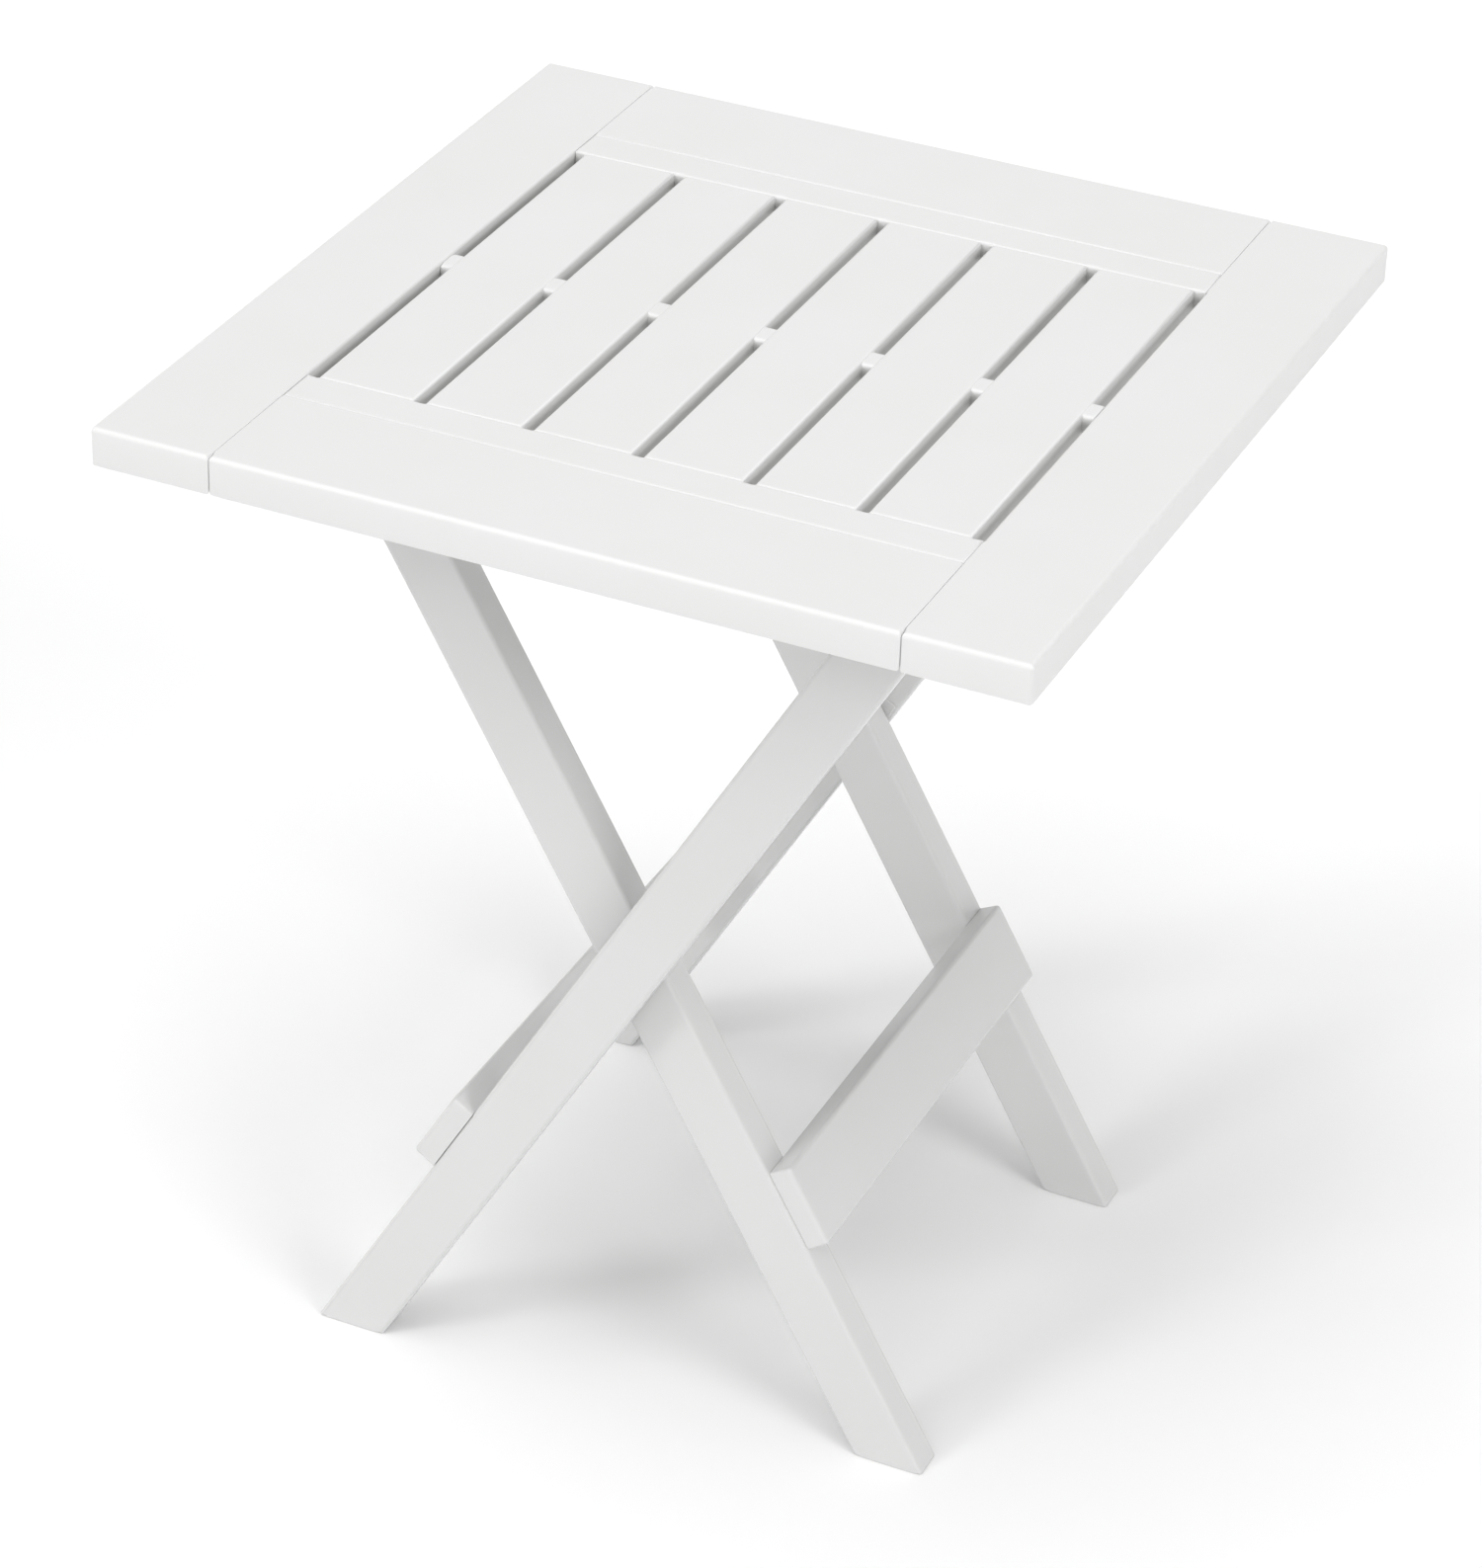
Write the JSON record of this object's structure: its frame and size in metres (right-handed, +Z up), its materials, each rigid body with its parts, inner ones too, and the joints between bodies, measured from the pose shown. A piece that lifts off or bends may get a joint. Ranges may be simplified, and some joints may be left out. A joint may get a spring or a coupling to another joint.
{
  "type": "folding picnic table",
  "caption": "Small folding side table in white moulded resin: a slatted square top on two leg frames that cross like scissors and close flat.",
  "frame": {"origin": "on the floor, under the middle of the tabletop, with the table open", "axes": "+Z up, +X towards the side where the top is hinged to the outer leg frame, -Y is the front"},
  "size_m": [0.44, 0.44, 0.508],
  "materials": {
    "white_resin_top": "moulded, satin",
    "white_resin_legs": "moulded, satin to gloss",
    "white_resin_fittings": "moulded, satin",
    "bright_steel": "drawn, zinc plated",
    "zinc_screws": "zinc plated",
    "nylon_washers": "moulded, matt"
  },
  "bodies": {
    "outer_frame": {"outer_leg_front": "white_resin_legs", "outer_leg_rear": "white_resin_legs", "outer_stretcher": "white_resin_legs", "pivot_pin_front": "bright_steel", "pivot_pin_rear": "bright_steel"},
    "inner_frame": {"inner_leg_front": "white_resin_legs", "inner_leg_rear": "white_resin_legs", "inner_stretcher": "white_resin_legs", "inner_top_bar": "bright_steel", "pivot_washer_front": "nylon_washers", "pivot_washer_rear": "nylon_washers"},
    "tabletop": {"left_end_board": "white_resin_top", "right_end_board": "white_resin_top", "front_rail": "white_resin_top", "rear_rail": "white_resin_top", "slat_panel": "white_resin_top", "hinge_bracket_front": "white_resin_fittings", "hinge_bracket_rear": "white_resin_fittings", "catch_front": "white_resin_fittings", "catch_rear": "white_resin_fittings", "board_screws": "zinc_screws", "panel_screws": "zinc_screws", "bracket_screws": "zinc_screws", "catch_screws": "zinc_screws", "hinge_pin_front": "bright_steel", "hinge_pin_rear": "bright_steel"}
  },
  "joints": [
    {"name": "leg_fold", "type": "hinge", "parent": "outer_frame", "child": "inner_frame", "pos_m": [0, 0, 0.24075], "axis": [0, 1, 0], "range_deg": [0, 58]},
    {"name": "top_turn", "type": "hinge", "parent": "outer_frame", "child": "tabletop", "pos_m": [0.13928, 0, 0.482], "axis": [0, 1, 0], "range_deg": [0, 29]}
  ],
  "couplings": [
    {"joint": "top_turn", "follows": "leg_fold", "ratio": 0.5}
  ]
}
